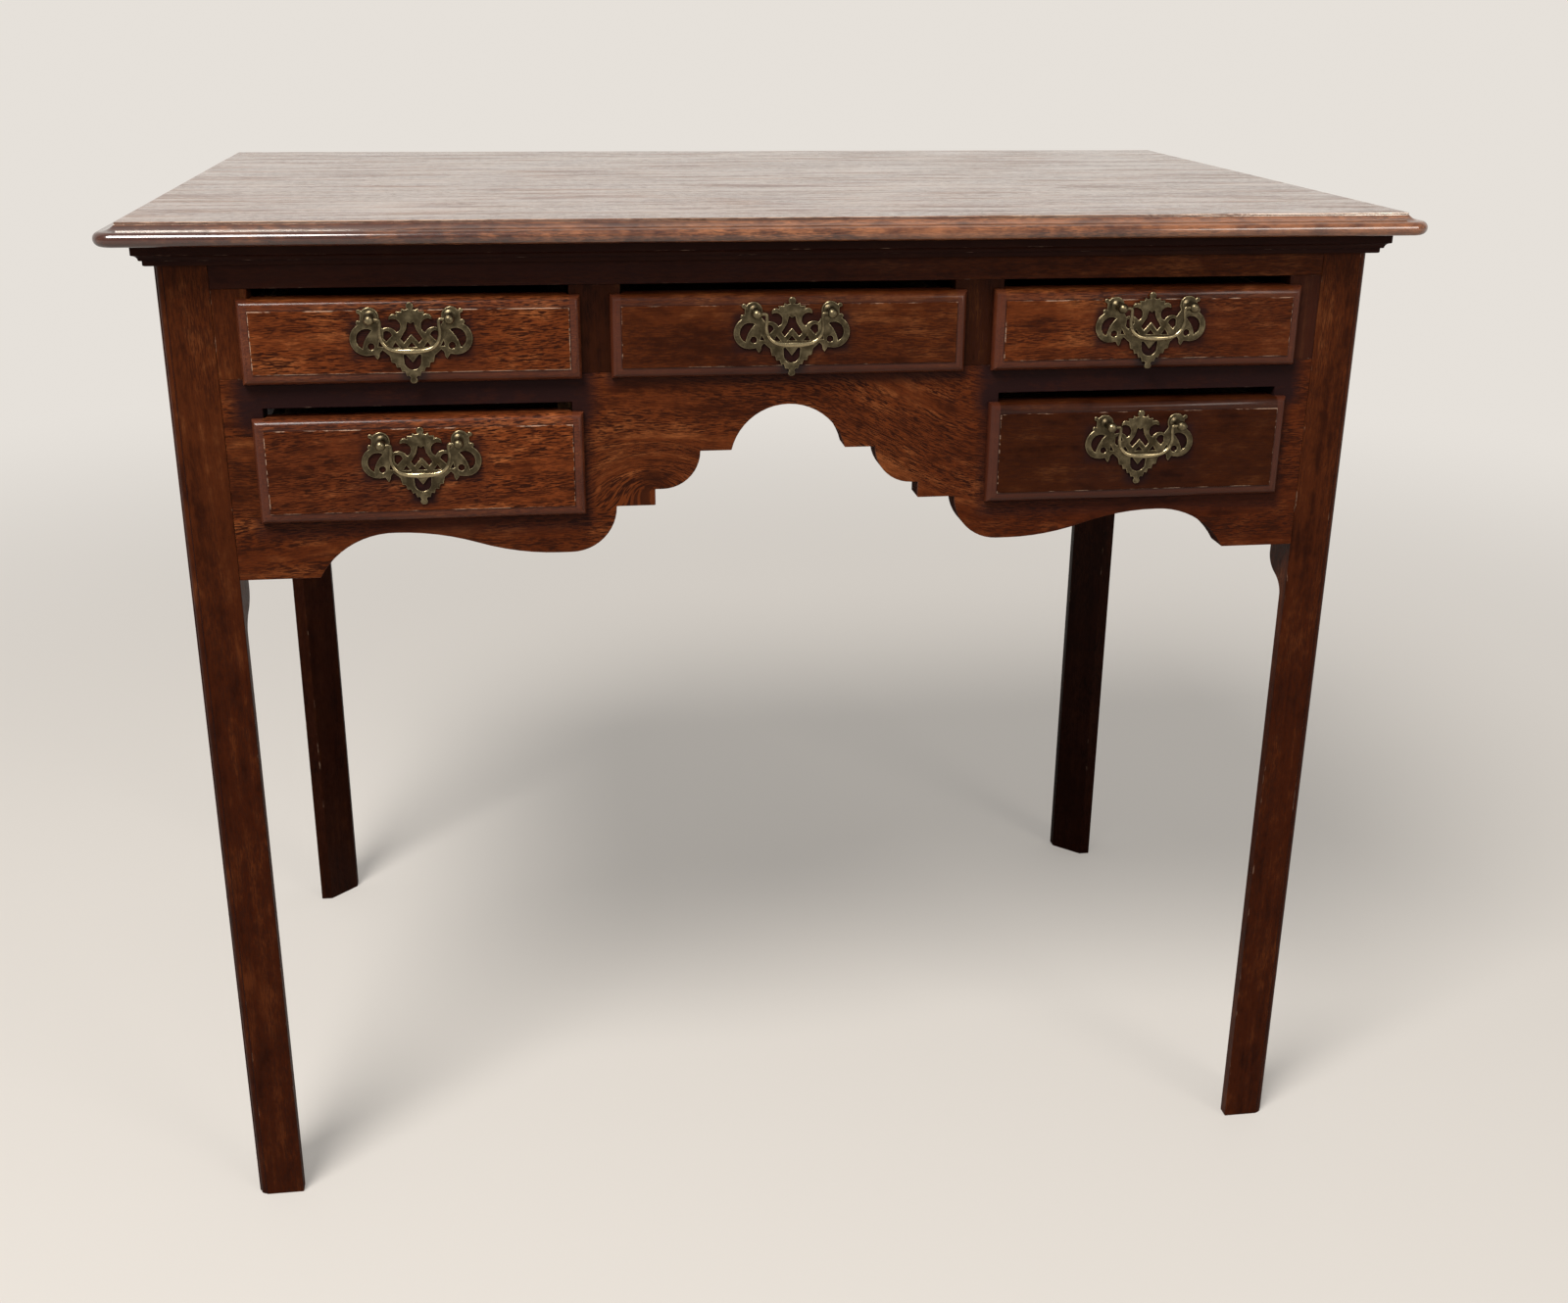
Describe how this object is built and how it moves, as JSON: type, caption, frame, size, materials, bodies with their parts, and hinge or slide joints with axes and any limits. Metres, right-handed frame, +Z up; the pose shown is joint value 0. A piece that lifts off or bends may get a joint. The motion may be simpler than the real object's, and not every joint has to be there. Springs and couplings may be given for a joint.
{
  "type": "lowboy",
  "caption": "Oak dressing table on tall square legs, with lipped drawers under a moulded top, a shaped arched apron and swinging brass bail handles.",
  "frame": {"origin": "on the floor, under the middle of the top", "axes": "+X to the viewer's right along the front, +Y from the front to the back, +Z up"},
  "size_m": [0.854, 0.529, 0.72],
  "materials": {
    "varnished_oak": "old varnish, worn to orange on edges, dark in the grain",
    "polished_oak": "glossy polish on a fine straight grain",
    "dark_oak": "old varnish, nearly black",
    "bare_oak": "unvarnished, dusty and dry",
    "antique_brass": "aged brass, bright on the raised edges, brown in the hollows"
  },
  "bodies": {
    "carcase": {"top_board": "polished_oak", "bed_mould_front": "dark_oak", "bed_mould_left": "dark_oak", "bed_mould_right": "dark_oak", "front_left_leg": "varnished_oak", "front_right_leg": "varnished_oak", "back_left_leg": "varnished_oak", "back_right_leg": "varnished_oak", "frieze_rail": "dark_oak", "end_stiles": "varnished_oak", "dividers": "varnished_oak", "apron_board": "varnished_oak", "apron_block": "varnished_oak", "left_side_panel": "varnished_oak", "right_side_panel": "varnished_oak", "back_panel": "bare_oak", "drawer_runners": "bare_oak", "drawer_guides": "bare_oak", "drawer_kickers": "bare_oak", "corner_blocks": "bare_oak"},
    "upper_left_drawer": {"upper_left_front": "varnished_oak", "upper_left_sides": "bare_oak", "upper_left_back": "bare_oak", "upper_left_bottom": "bare_oak", "upper_left_backplate": "antique_brass", "upper_left_posts": "antique_brass", "upper_left_nuts": "antique_brass"},
    "upper_left_pull": {"upper_left_bail": "antique_brass"},
    "upper_middle_drawer": {"upper_middle_front": "varnished_oak", "upper_middle_sides": "bare_oak", "upper_middle_back": "bare_oak", "upper_middle_bottom": "bare_oak", "upper_middle_backplate": "antique_brass", "upper_middle_posts": "antique_brass", "upper_middle_nuts": "antique_brass"},
    "upper_middle_pull": {"upper_middle_bail": "antique_brass"},
    "upper_right_drawer": {"upper_right_front": "varnished_oak", "upper_right_sides": "bare_oak", "upper_right_back": "bare_oak", "upper_right_bottom": "bare_oak", "upper_right_backplate": "antique_brass", "upper_right_posts": "antique_brass", "upper_right_nuts": "antique_brass"},
    "upper_right_pull": {"upper_right_bail": "antique_brass"},
    "lower_left_drawer": {"lower_left_front": "varnished_oak", "lower_left_sides": "bare_oak", "lower_left_back": "bare_oak", "lower_left_bottom": "bare_oak", "lower_left_backplate": "antique_brass", "lower_left_posts": "antique_brass", "lower_left_nuts": "antique_brass"},
    "lower_left_pull": {"lower_left_bail": "antique_brass"},
    "lower_right_drawer": {"lower_right_front": "varnished_oak", "lower_right_sides": "bare_oak", "lower_right_back": "bare_oak", "lower_right_bottom": "bare_oak", "lower_right_backplate": "antique_brass", "lower_right_posts": "antique_brass", "lower_right_nuts": "antique_brass"},
    "lower_right_pull": {"lower_right_bail": "antique_brass"}
  },
  "joints": [
    {"name": "upper_left_slide", "type": "slide", "parent": "carcase", "child": "upper_left_drawer", "axis": [0, -1, 0], "range_m": [0, 0.3]},
    {"name": "upper_left_bail_swing", "type": "hinge", "parent": "upper_left_drawer", "child": "upper_left_pull", "pos_m": [-0.2432, -0.2581, 0.6601], "axis": [-1, 0, 0], "range_deg": [-28, 175]},
    {"name": "upper_middle_slide", "type": "slide", "parent": "carcase", "child": "upper_middle_drawer", "axis": [0, -1, 0], "range_m": [0, 0.3]},
    {"name": "upper_middle_bail_swing", "type": "hinge", "parent": "upper_middle_drawer", "child": "upper_middle_pull", "pos_m": [0, -0.2581, 0.6601], "axis": [-1, 0, 0], "range_deg": [-28, 175]},
    {"name": "upper_right_slide", "type": "slide", "parent": "carcase", "child": "upper_right_drawer", "axis": [0, -1, 0], "range_m": [0, 0.3]},
    {"name": "upper_right_bail_swing", "type": "hinge", "parent": "upper_right_drawer", "child": "upper_right_pull", "pos_m": [0.2432, -0.2581, 0.6601], "axis": [-1, 0, 0], "range_deg": [-28, 175]},
    {"name": "lower_left_slide", "type": "slide", "parent": "carcase", "child": "lower_left_drawer", "axis": [0, -1, 0], "range_m": [0, 0.3]},
    {"name": "lower_left_bail_swing", "type": "hinge", "parent": "lower_left_drawer", "child": "lower_left_pull", "pos_m": [-0.24175, -0.2581, 0.5803], "axis": [-1, 0, 0], "range_deg": [-28, 175]},
    {"name": "lower_right_slide", "type": "slide", "parent": "carcase", "child": "lower_right_drawer", "axis": [0, -1, 0], "range_m": [0, 0.3]},
    {"name": "lower_right_bail_swing", "type": "hinge", "parent": "lower_right_drawer", "child": "lower_right_pull", "pos_m": [0.24175, -0.2581, 0.5803], "axis": [-1, 0, 0], "range_deg": [-28, 175]}
  ]
}
